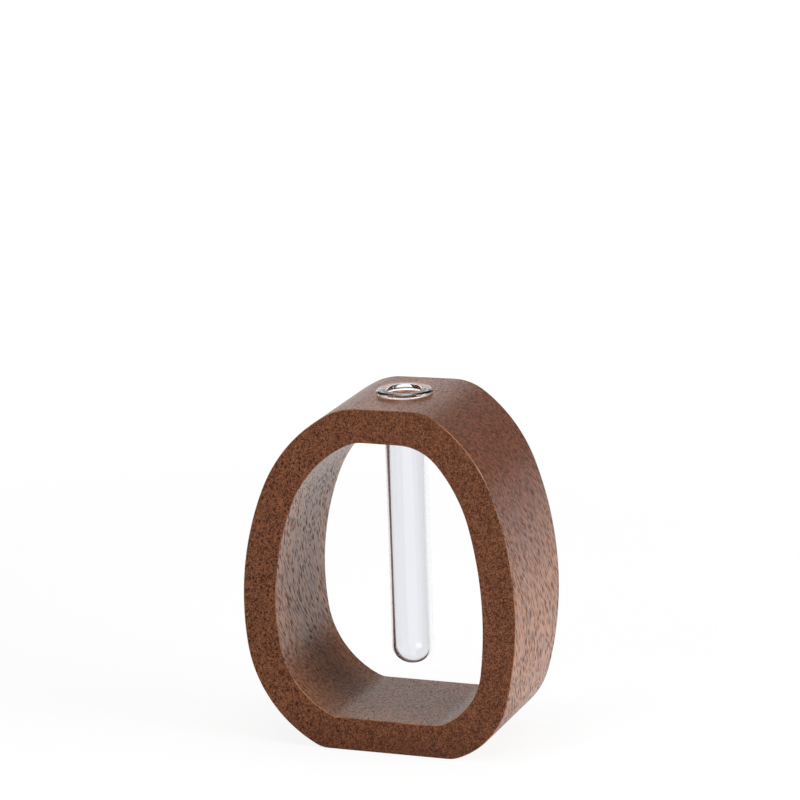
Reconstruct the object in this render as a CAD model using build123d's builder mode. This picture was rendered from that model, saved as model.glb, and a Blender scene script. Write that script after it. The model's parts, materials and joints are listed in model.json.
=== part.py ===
from build123d import *
from math import cos, radians, sin
import os

# Test tube vase: a glass tube with a flared rim hangs in the crown of a thick one-piece wooden ring.
# The ring's front looks along -Y, it stands on its flat base at Z = 0, and the origin is the middle
# of the bottom of the vase's box. The crown's flat rises a little to the right, and the tube leans
# with it. All lengths are in millimetres and all turns in degrees.

# Glass tube
tube_outer_diameter = 15.0
tube_wall = 1.3
tube_length = 100.0
tube_bottom_flattening = 1.0
tube_bottom_wall = 0.8
flare_radius = 1.5
lip_land = 0.2
lip_thickness = 1.8
mouth_radius = 1.0

# Wooden ring
ring_depth = 51.5
side_wall = 12.2
crown_wall = 12.2
base_wall = 11.8
tube_floor_gap = 14.6
crown_left_margin = 0.55
crown_right_margin = 0.8
crown_tilt = 1.14
edge_ease = 0.5

# Curves of the ring's outside, from its foot up to its crown. On each side of the ring and of the
# window, the flank between sweep and shoulder takes the radius that closes the curve at its height.
ring_right_foot_radius = 11.1
ring_right_sweep_radius = 29.1
ring_right_shoulder_radius = 54.0
ring_right_crown_radius = 18.6
ring_right_foot_turn = 21.6
ring_right_sweep_turn = 53.8
ring_right_flank_turn = 36.0
ring_right_shoulder_turn = 32.7

ring_left_foot_radius = 9.4
ring_left_sweep_radius = 47.5
ring_left_shoulder_radius = 56.4
ring_left_crown_radius = 21.1
ring_left_foot_turn = 27.1
ring_left_sweep_turn = 54.7
ring_left_flank_turn = 30.1
ring_left_shoulder_turn = 38.8

# Curves of the window
window_right_foot_radius = 9.8
window_right_sweep_radius = 24.0
window_right_shoulder_radius = 55.4
window_right_crown_radius = 18.0
window_right_foot_turn = 26.1
window_right_sweep_turn = 57.2
window_right_flank_turn = 21.6
window_right_shoulder_turn = 25.7

window_left_foot_radius = 8.0
window_left_sweep_radius = 33.1
window_left_shoulder_radius = 43.3
window_left_crown_radius = 13.1
window_left_foot_turn = 24.9
window_left_sweep_turn = 56.5
window_left_flank_turn = 28.8
window_left_shoulder_turn = 42.9

# Fits
hole_clearance = 0.35
rim_seat_gap = 0.1
cut_overrun = 2.0

# Radii and the bottom's heights, which follow from the tube
tube_radius = tube_outer_diameter / 2
bore_radius = tube_radius - tube_wall
tube_bottom_height = tube_radius - tube_bottom_flattening
inner_bottom_height = tube_bottom_height - tube_bottom_wall
lip_edge_radius = lip_thickness / 2
flare_end_radius = tube_radius + flare_radius
seat_radius = flare_end_radius + lip_land
mouth_end_radius = bore_radius + mouth_radius
hole_radius = tube_radius + hole_clearance
hole_rounding = flare_radius - hole_clearance

# Stations along the tube, from its bottom up to its lip
lip_underside = tube_length - lip_thickness
flare_foot = lip_underside - flare_radius
crown_station = lip_underside - rim_seat_gap

# Heights: the tube's bottom stays clear of the window's floor, and its lip sits on the crown. The crown's
# flat spans from the tube's axis, at crown_height, falling to the left and rising to the right
tilt_cos = cos(radians(crown_tilt))
tilt_sin = sin(radians(crown_tilt))
crown_left_span = seat_radius + crown_left_margin
crown_right_span = seat_radius + crown_right_margin
tube_bottom = base_wall + tube_floor_gap
crown_height = tube_bottom + crown_station * tilt_cos
crown_left_height = crown_height - crown_left_span * tilt_sin
crown_right_height = crown_height + crown_right_span * tilt_sin
window_height = crown_height - crown_wall - base_wall


class SideCurve:
    """One side of an outline: five arcs that turn it from its flat base round to its flat crown."""

    def __init__(self, height, full_turn, foot, sweep, shoulder, crown, turns):
        headings = [0]
        for turn in turns:
            headings.append(headings[-1] + turn)
        headings.append(full_turn)
        pairs = [(radians(start), radians(end)) for start, end in zip(headings, headings[1:])]
        rises = [cos(start) - cos(end) for start, end in pairs]
        spans = [sin(end) - sin(start) for start, end in pairs]
        others = foot * rises[0] + sweep * rises[1] + shoulder * rises[3] + crown * rises[4]
        flank = (height - others) / rises[2]
        self.height = height
        self.radii = [foot, sweep, flank, shoulder, crown]
        self.turns = [end - start for start, end in zip(headings, headings[1:])]
        self.draw_in = -sum(radius * span for radius, span in zip(self.radii, spans))
        widest_spans = [spans[0], spans[1], 1 - sin(pairs[2][0])]
        self.reach = sum(radius * span for radius, span in zip(self.radii, widest_spans))


ring_right = SideCurve(
    crown_right_height,
    180 + crown_tilt,
    ring_right_foot_radius,
    ring_right_sweep_radius,
    ring_right_shoulder_radius,
    ring_right_crown_radius,
    [ring_right_foot_turn, ring_right_sweep_turn, ring_right_flank_turn, ring_right_shoulder_turn],
)
ring_left = SideCurve(
    crown_left_height,
    180 - crown_tilt,
    ring_left_foot_radius,
    ring_left_sweep_radius,
    ring_left_shoulder_radius,
    ring_left_crown_radius,
    [ring_left_foot_turn, ring_left_sweep_turn, ring_left_flank_turn, ring_left_shoulder_turn],
)
window_right = SideCurve(
    window_height,
    180,
    window_right_foot_radius,
    window_right_sweep_radius,
    window_right_shoulder_radius,
    window_right_crown_radius,
    [window_right_foot_turn, window_right_sweep_turn, window_right_flank_turn, window_right_shoulder_turn],
)
window_left = SideCurve(
    window_height,
    180,
    window_left_foot_radius,
    window_left_sweep_radius,
    window_left_shoulder_radius,
    window_left_crown_radius,
    [window_left_foot_turn, window_left_sweep_turn, window_left_flank_turn, window_left_shoulder_turn],
)

# Widths: the tube hangs in the crown's flat, the sides spread from there, the ring is centred on X
# and the window is centred in it between equal side walls
crown_width = (crown_left_span + crown_right_span) * tilt_cos
ring_base_width = crown_width + ring_left.draw_in + ring_right.draw_in
ring_width = ring_left.reach + ring_base_width + ring_right.reach
window_width = ring_width - side_wall * 2
window_base_width = window_width - window_left.reach - window_right.reach
crown_x = ring_left.reach + ring_left.draw_in - ring_width / 2 + crown_left_span * tilt_cos
tube_x = crown_x + crown_station * tilt_sin

# The tube's own plane has its origin at the tube's bottom and its Y axis up along the tube; the crown's
# plane lies on the crown's flat, with its origin on the tube's axis
tube_plane = Plane((tube_x, 0, tube_bottom), x_dir=(tilt_cos, 0, tilt_sin), z_dir=(0, -1, 0))
crown_plane = Plane(tube_plane.from_local_coords((0, crown_station, 0)), tube_plane.x_dir, tube_plane.y_dir)


def draw_outline(left, right, width, base_width, base_z):
    """Draw a closed outline counter-clockwise, from its flat base up the right side and back."""
    base_left = left.reach - width / 2
    edge = Line((base_left, base_z), (base_left + base_width, base_z))
    for radius, turn in zip(right.radii, right.turns):
        edge = JernArc(edge @ 1, edge % 1, radius, turn)
    edge = Line(edge @ 1, (base_left + left.draw_in, base_z + left.height))
    for radius, turn in zip(reversed(left.radii), reversed(left.turns)):
        edge = JernArc(edge @ 1, edge % 1, radius, turn)


# The ring: a thick band, eased along its front and back edges and bored through the crown
with BuildPart() as wood_frame:
    with BuildSketch(Plane.XZ):
        with BuildLine():
            draw_outline(ring_left, ring_right, ring_width, ring_base_width, 0)
        make_face()
        with BuildLine():
            draw_outline(window_left, window_right, window_width, window_base_width, base_wall)
        make_face(mode=Mode.SUBTRACT)
    extrude(amount=ring_depth / 2, both=True)
    front_edges = wood_frame.faces().sort_by(Axis.Y)[0].edges()
    back_edges = wood_frame.faces().sort_by(Axis.Y)[-1].edges()
    fillet(front_edges + back_edges, edge_ease)
    with BuildSketch(crown_plane):
        Circle(hole_radius)
    extrude(amount=-crown_wall - cut_overrun, mode=Mode.SUBTRACT)
    hole_rim = wood_frame.edges().filter_by(GeomType.CIRCLE).filter_by(crown_plane).sort_by(Axis.Z)[-1]
    fillet(hole_rim, hole_rounding)

# The tube: straight wall, thinner round bottom, and a rim that flares out into a rounded lip
with BuildPart() as glass_tube:
    with BuildSketch(tube_plane):
        with BuildLine():
            Line((0, tube_bottom_wall), (0, 0))
            EllipticalCenterArc((0, tube_bottom_height), tube_radius, tube_bottom_height, 270, arc_size=90)
            wall = Line((tube_radius, tube_bottom_height), (tube_radius, flare_foot))
            flare = JernArc(wall @ 1, wall % 1, flare_radius, -90)
            land = Line(flare @ 1, (seat_radius, lip_underside))
            lip = JernArc(land @ 1, land % 1, lip_edge_radius, 180)
            lip_face = Line(lip @ 1, (mouth_end_radius, tube_length))
            mouth = JernArc(lip_face @ 1, lip_face % 1, mouth_radius, 90)
            Line(mouth @ 1, (bore_radius, tube_bottom_height))
            EllipticalCenterArc((0, tube_bottom_height), bore_radius, inner_bottom_height, 270, arc_size=90)
        make_face()
    revolve(axis=Axis(tube_plane.origin, tube_plane.y_dir))

os.makedirs("parts", exist_ok=True)
wood_frame.part.label = "wood_frame"
export_step(wood_frame.part, "parts/wood_frame.step")
glass_tube.part.label = "glass_tube"
export_step(glass_tube.part, "parts/glass_tube.step")

print(f"ring {ring_width:.4f} wide, crown {crown_height:.4f} high, base {ring_base_width:.4f} wide")
print(f"window {window_width:.2f} wide and {window_height:.2f} high, floor {window_base_width:.2f} wide")
print(f"tube bottom at {tube_x:.4f}, {tube_bottom:.4f}, tube at the crown at {crown_x:.4f}")
print("ring radii", [round(radius, 1) for radius in ring_left.radii + ring_right.radii])
print("window radii", [round(radius, 1) for radius in window_left.radii + window_right.radii])
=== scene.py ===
import json
from math import ceil, cos, pi, radians, sin

import bmesh
import bpy
from mathutils import Matrix, Vector

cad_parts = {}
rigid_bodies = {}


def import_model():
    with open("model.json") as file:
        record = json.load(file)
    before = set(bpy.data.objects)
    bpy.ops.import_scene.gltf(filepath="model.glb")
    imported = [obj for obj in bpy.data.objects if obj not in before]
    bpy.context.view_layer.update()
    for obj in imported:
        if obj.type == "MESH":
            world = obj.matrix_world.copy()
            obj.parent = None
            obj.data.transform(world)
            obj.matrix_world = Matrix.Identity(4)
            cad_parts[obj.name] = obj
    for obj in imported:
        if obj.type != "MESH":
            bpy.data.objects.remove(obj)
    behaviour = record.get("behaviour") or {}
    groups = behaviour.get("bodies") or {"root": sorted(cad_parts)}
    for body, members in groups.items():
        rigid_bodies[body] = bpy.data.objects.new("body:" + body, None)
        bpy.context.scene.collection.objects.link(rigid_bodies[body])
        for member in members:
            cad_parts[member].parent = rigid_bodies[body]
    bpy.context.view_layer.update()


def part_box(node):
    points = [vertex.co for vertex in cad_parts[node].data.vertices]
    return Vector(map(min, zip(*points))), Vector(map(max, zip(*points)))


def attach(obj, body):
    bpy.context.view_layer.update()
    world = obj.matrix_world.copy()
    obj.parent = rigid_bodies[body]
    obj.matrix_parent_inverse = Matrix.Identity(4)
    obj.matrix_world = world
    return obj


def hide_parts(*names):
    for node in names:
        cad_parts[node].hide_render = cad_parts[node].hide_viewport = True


# Looks of a small vase: a glass tube with a flared rim hangs in the crown of an egg-shaped walnut ring.
# Everything is in metres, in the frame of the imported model, with the ring's front looking along -Y.

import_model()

MM = 0.001
NEAR = 0.01 * MM

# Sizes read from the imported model
ring_low, ring_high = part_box("wood_frame")
ring_width = ring_high.x - ring_low.x
ring_depth = ring_high.y - ring_low.y
ring_height = ring_high.z - ring_low.z

# Glass tube
tube_radius = 7.5 * MM
tube_length = 100.0 * MM
tube_wall = 1.3 * MM
tube_bottom_flattening = 1.0 * MM
tube_bottom_wall = 0.8 * MM
flare_radius = 1.5 * MM
lip_land = 0.2 * MM
lip_thickness = 1.8 * MM
mouth_radius = 1.0 * MM
lathe_steps = 128
bottom_steps = 24
flare_steps = 10
lip_steps = 16

# Walls and edges of the ring. The crown's flat rises a little to the right, and the tube leans with it.
side_wall = 12.2 * MM
crown_wall = 12.2 * MM
base_wall = 11.8 * MM
tube_floor_gap = 14.6 * MM
crown_left_margin = 0.55 * MM
crown_right_margin = 0.8 * MM
crown_tilt = radians(1.14)
edge_ease = 0.5 * MM
hole_clearance = 0.35 * MM
rim_seat_gap = 0.1 * MM
hole_sides = 128

# Curves of the ring and of its window: radii of foot, sweep, shoulder and crown in millimetres, and
# turns of foot, sweep, flank and shoulder in degrees. The flank's radius closes the height.
ring_right_curve = ((11.1, 29.1, 54.0, 18.6), (21.6, 53.8, 36.0, 32.7))
ring_left_curve = ((9.4, 47.5, 56.4, 21.1), (27.1, 54.7, 30.1, 38.8))
window_right_curve = ((9.8, 24.0, 55.4, 18.0), (26.1, 57.2, 21.6, 25.7))
window_left_curve = ((8.0, 33.1, 43.3, 13.1), (24.9, 56.5, 28.8, 42.9))
outline_step = 1.5 * MM
edge_segments = 5
rim_angle = radians(60)
smooth_limit = radians(35)

# Sizes and places that follow: the tube hangs square to the crown's flat, by its lip
bore_radius = tube_radius - tube_wall
tube_bottom_height = tube_radius - tube_bottom_flattening
seat_radius = tube_radius + flare_radius + lip_land
crown_left_span = seat_radius + crown_left_margin
crown_right_span = seat_radius + crown_right_margin
hole_radius = tube_radius + hole_clearance
hole_rounding = flare_radius - hole_clearance
tube_up = Vector((-sin(crown_tilt), 0, cos(crown_tilt)))
crown_station = tube_length - lip_thickness - rim_seat_gap
crown_height = base_wall + tube_floor_gap + crown_station * cos(crown_tilt)

# Colours of the walnut
heart_dark = (0.095, 0.032, 0.014, 1)
heart_light = (0.200, 0.076, 0.034, 1)
fibre_pale = (0.310, 0.130, 0.062, 1)
# Painted shade, multiplied over the sides on the right shoulder
shoulder_painted_shade = (0.48, 0.37, 0.34, 1)
face_dark = (0.066, 0.017, 0.006, 1)
face_light = (0.165, 0.052, 0.021, 1)
face_orange = (0.320, 0.118, 0.048, 1)
# Painted shade, multiplied over the front and back towards the foot
foot_painted_shade = (0.80, 0.74, 0.70, 1)
pore_brown = (0.045, 0.010, 0.003, 1)
# Painted highlight along the eased edges
edge_painted_highlight = (0.420, 0.200, 0.100, 1)

# Figure of the walnut: sizes in millimetres along X, Y and Z, with the detail of the noise. On the sides
# the fibres run up the ring, lean towards its front and drift a little.
fibre_lean = radians(30)
drift_size = 18.0
drift_reach = (4.0, 4.0, 0.0)
side_bands = ((5.0, 5.0, 90.0), 2.0)
side_streaks = ((1.5, 1.5, 20.0), 3.0)
side_flecks = ((0.8, 0.8, 5.0), 1.0)
face_mottle = ((1.1, 40.0, 1.4), 2.0)
face_speckle = ((0.36, 40.0, 0.40), 1.0)
face_bands = ((4.0, 60.0, 30.0), 2.0)
# Patches of the painted highlight along the eased edges
highlight_patches = ((14.0, 14.0, 14.0), 2.0)

# Span of each noise over which one colour turns into the next
side_band_span = (0.36, 0.64)
side_streak_span = (0.34, 0.66)
side_fleck_span = (0.34, 0.62)
face_mottle_span = (0.34, 0.66)
face_band_span = (0.40, 0.60)
face_speckle_span = (0.42, 0.68)
# Span of the painted highlight along the eased edges
highlight_span = (0.46, 0.62)
face_band_strength = 0.40
face_speckle_strength = 0.85
# Strength of the painted highlight along the eased edges
highlight_strength = 0.55

# Pores of the walnut: spacings in millimetres along X, Y and Z, and their radius as a share of those.
# The wide pores of the faces close up from the left of the ring to the right.
side_wide_pores = ((1.5, 1.5, 7.0), 0.36)
side_fine_pores = ((0.9, 0.9, 5.0), 0.42)
face_wide_pores = ((1.4, 60.0, 1.9), 0.38)
face_fine_pores = ((0.8, 60.0, 1.0), 0.42)
pore_core_share = 0.45
side_wide_strength = 0.60
side_fine_strength = 0.45
face_wide_left_strength = 0.90
face_wide_right_strength = 0.50
face_wide_reach = (-34.0, 10.0)
face_fine_strength = 0.55
level_pore_strength = 0.5

# Where the walnut changes: how far a surface faces front or back, how far it faces up or down, and
# heights and places across the ring in millimetres, where shade is painted on the right shoulder and at the
# foot
cut_facing = (0.6, 0.9)
# Eased edges, which carry the painted highlight
edge_facing_from = (0.15, 0.45)
edge_facing_to = (0.80, 0.97)
level_facing = (0.35, 0.80)
# Heights and places of the painted shade on the right shoulder
shoulder_shade_heights = (40.0, 95.0)
shoulder_shade_reach = (4.0, 26.0)
# Heights over which the painted shade at the foot fades out
foot_shade_heights = (2.0, 14.0)

# Finish of the walnut
side_roughness = 0.32
face_roughness = 0.40
pore_roughness = 0.8
oil_ior = 1.42
pore_bump = 0.5
pore_depth = 0.12 * MM

# Glass
glass_tint = (0.933, 0.940, 0.963, 1)
glass_ior = 1.47
glass_ripple = ((6.0, 6.0, 40.0), 0.0)
ripple_bump = 0.1
ripple_depth = 0.02 * MM

# Camera
camera_azimuth = radians(19.14)
camera_elevation = radians(13.78)
camera_roll = radians(-0.84)
camera_distance = 1.6603
camera_focal_pixels = 4686.6
image_pixels = 800
sensor_width_mm = 36.0
aim_point = Vector((0.23 * MM, 0, 62.0 * MM))
aim_pixel = (402.31, 564.6)

# Room: a bright white backdrop behind the vase, as seen from the camera, in a dimmer room. The floor
# shows white, and its sheen on the vase fades from the bright back of the room to the front.
backdrop_rise = radians(6)
backdrop_inner = radians(16)
backdrop_outer = radians(32)
room_level = 0.16
floor_size = 12.0
floor_drop = 0.02 * MM
floor_sheen_reach = (-0.06, 0.06)
floor_dim_level = 0.15
floor_glow = 0.86
floor_far_glow = 1.0
floor_glow_reach = (0.25, 0.9)
floor_paper = (0.8, 0.8, 0.8, 1)
floor_paper_seen = (0.16, 0.16, 0.16, 1)
white = (1, 1, 1, 1)

# Lamps: place, width, height and power in watts
right_lamp = ((1.2, -0.1, 0.4), 1.0, 0.8, 18.0)
front_lamp = ((-0.7, -1.4, 0.8), 1.2, 1.0, 13.0)
top_lamp = ((0.0, 0.0, 1.5), 1.2, 1.2, 7.5)


def start_mesh(name, place):
    """Start a mesh object in edit mode from one point, with the point selected."""
    bpy.ops.object.select_all(action="DESELECT")
    bpy.ops.mesh.primitive_plane_add(size=MM, location=(0, 0, 0))
    made = bpy.context.object
    made.name = name
    made.data.name = name
    bpy.ops.object.mode_set(mode="EDIT")
    bpy.ops.mesh.select_mode(type="VERT")
    bpy.ops.mesh.delete(type="VERT")
    add_point(place)
    return made


def add_point(place):
    """Add one loose point to the mesh in edit mode and leave only it selected."""
    bpy.ops.mesh.select_all(action="DESELECT")
    bpy.ops.mesh.primitive_plane_add(size=MM, location=place)
    bpy.ops.mesh.merge(type="CENTER")


def draw_line(start, end):
    """Extrude the selected end of a line from start to end."""
    bpy.ops.mesh.extrude_region_move(TRANSFORM_OT_translate={"value": end - start})
    return end


def draw_arc(start, heading, radius, turn, steps):
    """Spin the selected end of a line along an arc in the XZ plane; a positive turn is to the left."""
    side = radius if turn > 0 else -radius
    centre = start + side * Vector((-sin(heading), 0, cos(heading)))
    bpy.ops.mesh.spin(steps=steps, angle=turn, center=centre, axis=(0, 1, 0))
    return centre + Matrix.Rotation(-turn, 3, "Y") @ (start - centre)


def select_by(made, kind, test):
    """Select the vertices, edges or faces of a mesh in edit mode that pass a test, and nothing else."""
    bpy.ops.mesh.select_mode(type={"verts": "VERT", "edges": "EDGE", "faces": "FACE"}[kind])
    bpy.ops.mesh.select_all(action="DESELECT")
    edited = bmesh.from_edit_mesh(made.data)
    for element in getattr(edited, kind):
        if test(element):
            element.select_set(True)
    edited.select_flush_mode()
    bmesh.update_edit_mesh(made.data)


def apply_modifier(made, kind, **settings):
    """Add a modifier to an object, set it and apply it."""
    bpy.context.view_layer.objects.active = made
    bpy.ops.object.modifier_add(type=kind)
    modifier = made.modifiers[-1]
    for name, value in settings.items():
        setattr(modifier, name, value)
    bpy.ops.object.modifier_apply(modifier=modifier.name)


def finish_mesh(made, material):
    """Give a finished mesh its smooth shading and its material."""
    bpy.ops.object.mode_set(mode="OBJECT")
    bpy.ops.object.select_all(action="DESELECT")
    made.select_set(True)
    bpy.context.view_layer.objects.active = made
    bpy.ops.object.shade_smooth_by_angle(angle=smooth_limit)
    apply_modifier(made, "WEIGHTED_NORMAL", keep_sharp=True)
    made.data.materials.clear()
    made.data.materials.append(material)


class SideCurve:
    """One side of an outline: five arcs that turn it from its flat base round to its flat crown."""

    def __init__(self, curve, height, full_turn=pi):
        radii, turns = curve
        foot, sweep, shoulder, crown = [radius * MM for radius in radii]
        headings = [0.0]
        for turn in turns:
            headings.append(headings[-1] + radians(turn))
        headings.append(full_turn)
        pairs = list(zip(headings, headings[1:]))
        rises = [cos(start) - cos(end) for start, end in pairs]
        spans = [sin(end) - sin(start) for start, end in pairs]
        others = foot * rises[0] + sweep * rises[1] + shoulder * rises[3] + crown * rises[4]
        flank = (height - others) / rises[2]
        self.height = height
        self.radii = [foot, sweep, flank, shoulder, crown]
        self.turns = [end - start for start, end in pairs]
        self.draw_in = -sum(radius * span for radius, span in zip(self.radii, spans))
        widest = [spans[0], spans[1], 1 - sin(pairs[2][0])]
        self.reach = sum(radius * span for radius, span in zip(self.radii, widest))


ring_left_height = crown_height - crown_left_span * sin(crown_tilt)
ring_right_height = crown_height + crown_right_span * sin(crown_tilt)
ring_left = SideCurve(ring_left_curve, ring_left_height, pi - crown_tilt)
ring_right = SideCurve(ring_right_curve, ring_right_height, pi + crown_tilt)

# Where the tube's axis meets the crown, and the tube's bottom below it
crown_x = ring_low.x + ring_left.reach + ring_left.draw_in + crown_left_span * cos(crown_tilt)
crown_point = Vector((crown_x, 0, ring_low.z + crown_height))
tube_foot = crown_point - tube_up * crown_station


def draw_outline(left, right, base_left, base_right, base_z, left_steps, right_steps):
    """Draw a closed outline at the ring's front: base, right side, crown and left side."""
    front = ring_low.y
    point = Vector((base_left, front, base_z))
    point = draw_line(point, Vector((base_right, front, base_z)))
    heading = 0.0
    for radius, turn, steps in zip(right.radii, right.turns, right_steps):
        point = draw_arc(point, heading, radius, turn, steps)
        heading += turn
    point = draw_line(point, Vector((base_left + left.draw_in, front, base_z + left.height)))
    left_arcs = list(zip(left.radii, left.turns, left_steps))
    for radius, turn, steps in reversed(left_arcs):
        point = draw_arc(point, heading, radius, turn, steps)
        heading += turn


def model_ring(material):
    """The walnut ring: a band between two outlines, extruded, eased along its edges and bored."""
    window_height = crown_height - crown_wall - base_wall
    window_left = SideCurve(window_left_curve, window_height)
    window_right = SideCurve(window_right_curve, window_height)

    def steps_for(outer, inner):
        """Steps of each arc, alike on ring and window so that the two outlines bridge in quads."""
        arcs = zip(outer.radii, outer.turns, inner.radii, inner.turns)
        return [ceil(max(a * b, c * d) / outline_step) for a, b, c, d in arcs]

    left_steps = steps_for(ring_left, window_left)
    right_steps = steps_for(ring_right, window_right)
    base_left = ring_left.reach - ring_width / 2
    base_right = ring_width / 2 - ring_right.reach
    window_width = ring_width - side_wall * 2
    floor_left = window_left.reach - window_width / 2
    floor_right = window_width / 2 - window_right.reach
    floor_z = ring_low.z + base_wall

    made = start_mesh("walnut_ring", (base_left, ring_low.y, ring_low.z))
    draw_outline(ring_left, ring_right, base_left, base_right, ring_low.z, left_steps, right_steps)
    add_point((floor_left, ring_low.y, floor_z))
    draw_outline(window_left, window_right, floor_left, floor_right, floor_z, left_steps, right_steps)
    bpy.ops.mesh.select_all(action="SELECT")
    bpy.ops.mesh.remove_doubles(threshold=NEAR)
    bpy.ops.mesh.bridge_edge_loops()
    bpy.ops.mesh.select_all(action="SELECT")
    bpy.ops.mesh.extrude_region_move(TRANSFORM_OT_translate={"value": (0, ring_depth, 0)})
    bpy.ops.mesh.select_all(action="SELECT")
    bpy.ops.mesh.normals_make_consistent(inside=False)

    def is_rim(edge):
        """An edge between the front or back face and a side of the band."""
        first, second = edge.verts
        level = abs(first.co.y - second.co.y) < NEAR
        return level and edge.calc_face_angle(0) > rim_angle

    select_by(made, "edges", is_rim)
    bpy.ops.mesh.bevel(offset=edge_ease, segments=edge_segments, affect="EDGES", clamp_overlap=False)
    bpy.ops.object.mode_set(mode="OBJECT")
    bore_crown(made)
    finish_mesh(made, material)
    return made


def bore_crown(made):
    """Drill the hole for the tube down through the crown and round its upper rim."""
    bpy.ops.object.select_all(action="DESELECT")
    bpy.ops.mesh.primitive_cylinder_add(
        vertices=hole_sides,
        radius=hole_radius,
        depth=crown_wall * 2,
        location=crown_point - tube_up * crown_wall / 2,
        rotation=(0, -crown_tilt, 0),
    )
    drill = bpy.context.object
    apply_modifier(made, "BOOLEAN", object=drill, operation="DIFFERENCE", solver="EXACT")
    bpy.data.objects.remove(drill)
    bpy.ops.object.select_all(action="DESELECT")
    made.select_set(True)
    bpy.context.view_layer.objects.active = made
    bpy.ops.object.mode_set(mode="EDIT")

    def is_upper_rim(edge):
        """An edge of the hole's circle on top of the crown."""
        for vertex in edge.verts:
            offset = vertex.co - crown_point
            if abs(offset.length - hole_radius) > NEAR or abs(offset.dot(tube_up)) > NEAR:
                return False
        return True

    select_by(made, "edges", is_upper_rim)
    bpy.ops.mesh.bevel(offset=hole_rounding, segments=edge_segments, affect="EDGES", clamp_overlap=False)


def model_tube(material):
    """The glass tube: the outline of its wall, from the round bottom to the flared lip, spun in a lathe."""
    lip_top = tube_foot.z + tube_length
    lip_underside = lip_top - lip_thickness
    mouth_end = tube_foot.x + bore_radius + mouth_radius
    rim_centre = tube_foot + Vector((0, 0, tube_bottom_height))

    def draw_bottom(radius, height):
        """A quarter circle, flattened to the bottom's height; leaves its upper end selected."""
        draw_arc(rim_centre - Vector((0, 0, radius)), 0, radius, pi / 2, bottom_steps)
        bpy.ops.mesh.select_linked()
        bpy.ops.transform.resize(value=(1, 1, height / radius), center_override=rim_centre)
        end = rim_centre + Vector((radius, 0, 0))
        select_by(made, "verts", lambda vertex: (vertex.co - end).length < NEAR)
        return end

    made = start_mesh("test_tube", rim_centre - Vector((0, 0, bore_radius)))
    draw_bottom(bore_radius, tube_bottom_height - tube_bottom_wall)
    add_point(rim_centre - Vector((0, 0, tube_radius)))
    point = draw_bottom(tube_radius, tube_bottom_height)
    point = draw_line(point, Vector((point.x, 0, lip_underside - flare_radius)))
    point = draw_arc(point, pi / 2, flare_radius, -pi / 2, flare_steps)
    point = draw_line(point, point + Vector((lip_land, 0, 0)))
    point = draw_arc(point, 0, lip_thickness / 2, pi, lip_steps)
    point = draw_line(point, Vector((mouth_end, 0, lip_top)))
    point = draw_arc(point, pi, mouth_radius, pi / 2, flare_steps)
    draw_line(point, rim_centre + Vector((bore_radius, 0, 0)))
    bpy.ops.mesh.select_all(action="SELECT")
    bpy.ops.mesh.remove_doubles(threshold=NEAR)
    bpy.ops.mesh.select_all(action="SELECT")
    bpy.ops.mesh.spin(steps=lathe_steps, angle=2 * pi, center=rim_centre, axis=(0, 0, 1))
    bpy.ops.mesh.select_all(action="SELECT")
    bpy.ops.mesh.remove_doubles(threshold=NEAR)
    bpy.ops.mesh.select_all(action="SELECT")
    bpy.ops.mesh.normals_make_consistent(inside=False)
    bpy.ops.transform.rotate(value=crown_tilt, orient_axis="Y", center_override=tube_foot)
    finish_mesh(made, material)
    return made


def add(tree, kind, inputs=None, **settings):
    """Add a shader node, set its settings, and set or link its inputs by name or number."""
    made = tree.nodes.new(kind)
    for name, value in settings.items():
        setattr(made, name, value)
    for socket, value in (inputs or {}).items():
        if isinstance(value, bpy.types.NodeSocket):
            tree.links.new(value, made.inputs[socket])
        else:
            made.inputs[socket].default_value = value
    return made


def calc(tree, operation, first, second=0.0):
    """A Math node's value."""
    return add(tree, "ShaderNodeMath", {0: first, 1: second}, operation=operation).outputs[0]


def remap(tree, value, span, low=0.0, high=1.0):
    """A value over a span, eased from low to high."""
    inputs = {"Value": value, 1: span[0], 2: span[1], 3: low, 4: high}
    made = add(tree, "ShaderNodeMapRange", inputs, interpolation_type="SMOOTHSTEP")
    return made.outputs["Result"]


def mix(tree, share, first, second, blend="MIX"):
    """A blend of two colours."""
    made = add(tree, "ShaderNodeMix", {0: share, 6: first, 7: second}, data_type="RGBA", blend_type=blend)
    return made.outputs[2]


def start_material(name):
    """A new material's node tree, with its Principled shader."""
    material = bpy.data.materials.new(name)
    material.use_nodes = True
    tree = material.node_tree
    return material, tree, tree.nodes["Principled BSDF"]


def place_in_mm(tree):
    """The place on the piece, in millimetres."""
    metres = add(tree, "ShaderNodeTexCoord").outputs["Object"]
    return add(tree, "ShaderNodeMapping", {"Vector": metres, "Scale": (1 / MM,) * 3}).outputs[0]


def make_figure_group():
    """A node group for the figure in wood and glass: noise that is stretched along X, Y and Z."""
    group = bpy.data.node_groups.new("stretched_figure", "ShaderNodeTree")
    group.interface.new_socket("Place", in_out="INPUT", socket_type="NodeSocketVector")
    group.interface.new_socket("Repeats", in_out="INPUT", socket_type="NodeSocketVector")
    group.interface.new_socket("Detail", in_out="INPUT", socket_type="NodeSocketFloat")
    group.interface.new_socket("Figure", in_out="OUTPUT", socket_type="NodeSocketFloat")
    given = add(group, "NodeGroupInput").outputs
    inputs = {"Vector": given["Place"], "Scale": given["Repeats"]}
    stretched = add(group, "ShaderNodeMapping", inputs).outputs[0]
    inputs = {"Vector": stretched, "Scale": 1.0, "Detail": given["Detail"]}
    noise = add(group, "ShaderNodeTexNoise", inputs).outputs["Fac"]
    add(group, "NodeGroupOutput", {"Figure": noise})
    return group


figure_group = make_figure_group()


def figure(tree, place, sizes, detail):
    """The figure group's value, with features of the given sizes in millimetres along X, Y and Z."""
    repeats = tuple(1 / size for size in sizes)
    inputs = {"Place": place, "Repeats": repeats, "Detail": detail}
    return add(tree, "ShaderNodeGroup", inputs, node_tree=figure_group).outputs["Figure"]


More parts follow.
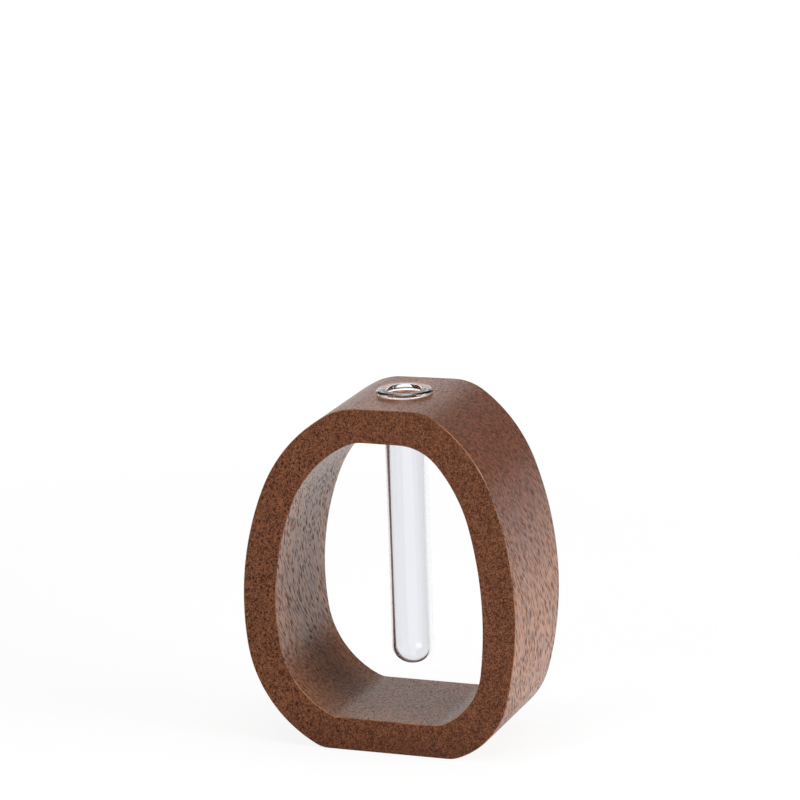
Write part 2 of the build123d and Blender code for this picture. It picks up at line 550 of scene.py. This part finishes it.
def open_pores(tree, place, spacings, radius_share, strength):
    """A mask of open pores with the given spacings, in millimetres along X, Y and Z."""
    scale = tuple(1 / spacing for spacing in spacings)
    stretched = add(tree, "ShaderNodeMapping", {"Vector": place, "Scale": scale}).outputs[0]
    cells = add(tree, "ShaderNodeTexVoronoi", {"Vector": stretched, "Scale": 1.0})
    pore_span = (radius_share * pore_core_share, radius_share)
    return calc(tree, "MULTIPLY", remap(tree, cells.outputs["Distance"], pore_span, 1.0, 0.0), strength)


def side_grain(tree, place):
    """Colour and pores of the walnut's sides, where the fibres lie along the surface."""
    drift = add(tree, "ShaderNodeTexNoise", {"Vector": place, "Scale": 1 / drift_size, "Detail": 1.0})
    inputs = {0: drift.outputs["Color"], 1: drift_reach, 2: place}
    wander = add(tree, "ShaderNodeVectorMath", inputs, operation="MULTIPLY_ADD").outputs[0]
    fibres = add(tree, "ShaderNodeMapping", {"Vector": wander, "Rotation": (-fibre_lean, 0, 0)}).outputs[0]
    bands = remap(tree, figure(tree, fibres, *side_bands), side_band_span)
    streaks = remap(tree, figure(tree, fibres, *side_streaks), side_streak_span)
    flecks = remap(tree, figure(tree, fibres, *side_flecks), side_fleck_span)
    heart = mix(tree, bands, heart_dark, heart_light)
    streaked = mix(tree, streaks, heart_dark, heart)
    colour = mix(tree, flecks, streaked, fibre_pale)
    wide = open_pores(tree, fibres, *side_wide_pores, side_wide_strength)
    fine = open_pores(tree, fibres, *side_fine_pores, side_fine_strength)
    return colour, calc(tree, "MAXIMUM", wide, fine)


def face_grain(tree, place, across):
    """Colour and pores of the walnut's front and back, where the fibres are cut across."""
    mottle = remap(tree, figure(tree, place, *face_mottle), face_mottle_span)
    speckle = remap(tree, figure(tree, place, *face_speckle), face_speckle_span, 0.0, face_speckle_strength)
    bands = remap(tree, figure(tree, place, *face_bands), face_band_span, face_band_strength, 0.0)
    ground = mix(tree, mottle, face_dark, face_light)
    shaded = mix(tree, bands, ground, face_dark)
    colour = mix(tree, speckle, shaded, face_orange)
    openness = remap(tree, across, face_wide_reach, face_wide_left_strength, face_wide_right_strength)
    wide = open_pores(tree, place, *face_wide_pores, openness)
    fine = open_pores(tree, place, *face_fine_pores, face_fine_strength)
    return colour, calc(tree, "MAXIMUM", wide, fine)


def make_walnut():
    """Oiled walnut: long fibres on the sides, cut pores on front and back, painted shade on the right
    shoulder and at the foot, and a painted highlight in patches along the eased edges.
    """
    material, tree, shader = start_material("oiled_walnut")
    place = place_in_mm(tree)
    spot = add(tree, "ShaderNodeSeparateXYZ", {0: place}).outputs
    normal = add(tree, "ShaderNodeNewGeometry").outputs["Normal"]
    tilt = add(tree, "ShaderNodeSeparateXYZ", {0: normal}).outputs
    facing = calc(tree, "ABSOLUTE", tilt["Y"])
    cut_across = remap(tree, facing, cut_facing)
    level = calc(tree, "ABSOLUTE", tilt["Z"])

    side_colour, side_pores = side_grain(tree, place)
    rising = remap(tree, level, level_facing, 1.0, level_pore_strength)
    side_pores = calc(tree, "MULTIPLY", side_pores, rising)
    # Painted shade: the sides grow darker over the right shoulder
    height = remap(tree, spot["Z"], shoulder_shade_heights)
    shoulder = calc(tree, "MULTIPLY", height, remap(tree, spot["X"], shoulder_shade_reach))
    side_colour = mix(tree, shoulder, side_colour, shoulder_painted_shade, "MULTIPLY")

    face_colour, face_pores = face_grain(tree, place, spot["X"])
    # Painted shade: the front and back grow darker towards the foot
    foot = remap(tree, spot["Z"], foot_shade_heights, 1.0, 0.0)
    face_colour = mix(tree, foot, face_colour, foot_painted_shade, "MULTIPLY")

    pores = add(tree, "ShaderNodeMix", {0: cut_across, 2: side_pores, 3: face_pores}).outputs[0]
    colour = mix(tree, pores, mix(tree, cut_across, side_colour, face_colour), pore_brown)
    # Painted highlight along the eased edges, in patches
    edge_from = remap(tree, facing, edge_facing_from)
    edge = calc(tree, "MULTIPLY", edge_from, remap(tree, facing, edge_facing_to, 1.0, 0.0))
    edge_highlight = remap(tree, figure(tree, place, *highlight_patches), highlight_span, 0.0, highlight_strength)
    colour = mix(tree, calc(tree, "MULTIPLY", edge, edge_highlight), colour, edge_painted_highlight)
    tree.links.new(colour, shader.inputs["Base Color"])

    grain_roughness = remap(tree, cut_across, (0.0, 1.0), side_roughness, face_roughness)
    roughness = calc(tree, "ADD", grain_roughness, calc(tree, "MULTIPLY", pores, pore_roughness))
    tree.links.new(roughness, shader.inputs["Roughness"])
    shader.inputs["IOR"].default_value = oil_ior
    surface = calc(tree, "SUBTRACT", 1.0, pores)
    inputs = {"Strength": pore_bump, "Distance": pore_depth, "Height": surface}
    tree.links.new(add(tree, "ShaderNodeBump", inputs).outputs[0], shader.inputs["Normal"])
    return material


def make_glass():
    """Clear drawn glass with the faintest waviness."""
    material, tree, shader = start_material("clear_glass")
    ripple = figure(tree, place_in_mm(tree), *glass_ripple)
    inputs = {"Strength": ripple_bump, "Distance": ripple_depth, "Height": ripple}
    tree.links.new(add(tree, "ShaderNodeBump", inputs).outputs[0], shader.inputs["Normal"])
    shader.inputs["Base Color"].default_value = glass_tint
    shader.inputs["Roughness"].default_value = 0.0
    shader.inputs["IOR"].default_value = glass_ior
    shader.inputs["Transmission Weight"].default_value = 1.0
    return material


def lay_floor():
    """A wide pale floor that shows white, directly and through glass, and keeps a soft shadow."""
    bpy.ops.object.select_all(action="DESELECT")
    bpy.ops.mesh.primitive_plane_add(size=floor_size, location=(0, 0, ring_low.z - floor_drop))
    floor = bpy.context.object
    floor.name = "studio_floor"
    material, tree, shader = start_material("white_paper")
    tree.nodes.remove(shader)
    paths = add(tree, "ShaderNodeLightPath").outputs
    direct = calc(tree, "MAXIMUM", paths["Is Camera Ray"], paths["Is Transmission Ray"])
    mirrored = calc(tree, "SUBTRACT", paths["Is Glossy Ray"], paths["Is Transmission Ray"])
    seen = calc(tree, "MAXIMUM", direct, paths["Is Glossy Ray"])

    place = add(tree, "ShaderNodeTexCoord").outputs["Object"]
    depth = add(tree, "ShaderNodeSeparateXYZ", {0: place}).outputs["Y"]
    sheen = remap(tree, depth, floor_sheen_reach, floor_dim_level, 1.0)
    reach = add(tree, "ShaderNodeVectorMath", {0: place}, operation="LENGTH").outputs["Value"]
    whiteness = remap(tree, reach, floor_glow_reach, floor_glow, floor_far_glow)
    gloss = calc(tree, "MULTIPLY", mirrored, sheen)
    level = calc(tree, "MAXIMUM", calc(tree, "MULTIPLY", direct, whiteness), gloss)
    paper = add(tree, "ShaderNodeBsdfDiffuse", {"Color": mix(tree, seen, floor_paper, floor_paper_seen)})
    glow = add(tree, "ShaderNodeEmission", {"Strength": level})
    both = add(tree, "ShaderNodeAddShader", {0: paper.outputs[0], 1: glow.outputs[0]})
    tree.links.new(both.outputs[0], tree.nodes["Material Output"].inputs["Surface"])
    material.cycles.emission_sampling = "NONE"
    floor.data.materials.append(material)


def light_room():
    """A dim room with a bright backdrop, which the camera and the glass see as white."""
    world = bpy.data.worlds.new("studio_room")
    world.use_nodes = True
    bpy.context.scene.world = world
    tree = world.node_tree
    room = tree.nodes["Background"]
    backdrop_axis = (
        -sin(camera_azimuth) * cos(backdrop_rise),
        cos(camera_azimuth) * cos(backdrop_rise),
        sin(backdrop_rise),
    )
    paths = add(tree, "ShaderNodeLightPath").outputs
    direct = calc(tree, "MAXIMUM", paths["Is Camera Ray"], paths["Is Transmission Ray"])
    ray = add(tree, "ShaderNodeTexCoord").outputs["Generated"]
    toward = add(tree, "ShaderNodeVectorMath", {0: ray, 1: backdrop_axis}, operation="DOT_PRODUCT")
    backdrop_span = (cos(backdrop_outer), cos(backdrop_inner))
    backdrop = remap(tree, toward.outputs["Value"], backdrop_span, room_level, 1.0)
    tree.links.new(calc(tree, "MAXIMUM", direct, backdrop), room.inputs["Strength"])
    room.inputs["Color"].default_value = white


def add_softbox(name, place, width, height, power):
    """A soft rectangular lamp at a place, turned to the middle of the ring."""
    bpy.ops.object.select_all(action="DESELECT")
    bpy.ops.object.light_add(type="AREA", location=place)
    lamp = bpy.context.object
    lamp.name = name
    lamp.rotation_mode = "QUATERNION"
    middle = Vector((0, 0, ring_height / 2))
    lamp.rotation_quaternion = (middle - Vector(place)).to_track_quat("-Z", "Y")
    lamp.data.shape = "RECTANGLE"
    lamp.data.size = width
    lamp.data.size_y = height
    lamp.data.energy = power
    return lamp


def place_camera():
    """The photograph's camera: aimed so that the aim point falls on its pixel."""
    back = Vector(
        (
            sin(camera_azimuth) * cos(camera_elevation),
            -cos(camera_azimuth) * cos(camera_elevation),
            sin(camera_elevation),
        )
    )
    level = Vector((cos(camera_azimuth), sin(camera_azimuth), 0))
    upright = back.cross(level)
    right = cos(camera_roll) * level + sin(camera_roll) * upright
    up = cos(camera_roll) * upright - sin(camera_roll) * level
    pixel = camera_distance / camera_focal_pixels
    place = aim_point + back * camera_distance
    place -= right * (aim_pixel[0] - image_pixels / 2) * pixel
    place += up * (aim_pixel[1] - image_pixels / 2) * pixel
    bpy.ops.object.camera_add(location=place)
    camera = bpy.context.object
    camera.name = "photo_camera"
    turn = Matrix((right, up, back)).transposed().to_4x4()
    camera.matrix_world = Matrix.Translation(place) @ turn
    camera.data.sensor_width = sensor_width_mm
    camera.data.lens = camera_focal_pixels / image_pixels * sensor_width_mm
    bpy.context.scene.camera = camera


ring = model_ring(make_walnut())
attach(ring, "frame")
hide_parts("wood_frame")

# The lamps shine through the glass onto the wood under it
tube = model_tube(make_glass())
tube.visible_shadow = False
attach(tube, "tube")
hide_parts("glass_tube")

lay_floor()
light_room()
add_softbox("right_softbox", *right_lamp)
front_softbox = add_softbox("front_softbox", *front_lamp)
front_softbox.visible_glossy = False
add_softbox("top_softbox", *top_lamp)
place_camera()
bpy.context.scene.view_settings.view_transform = "Standard"
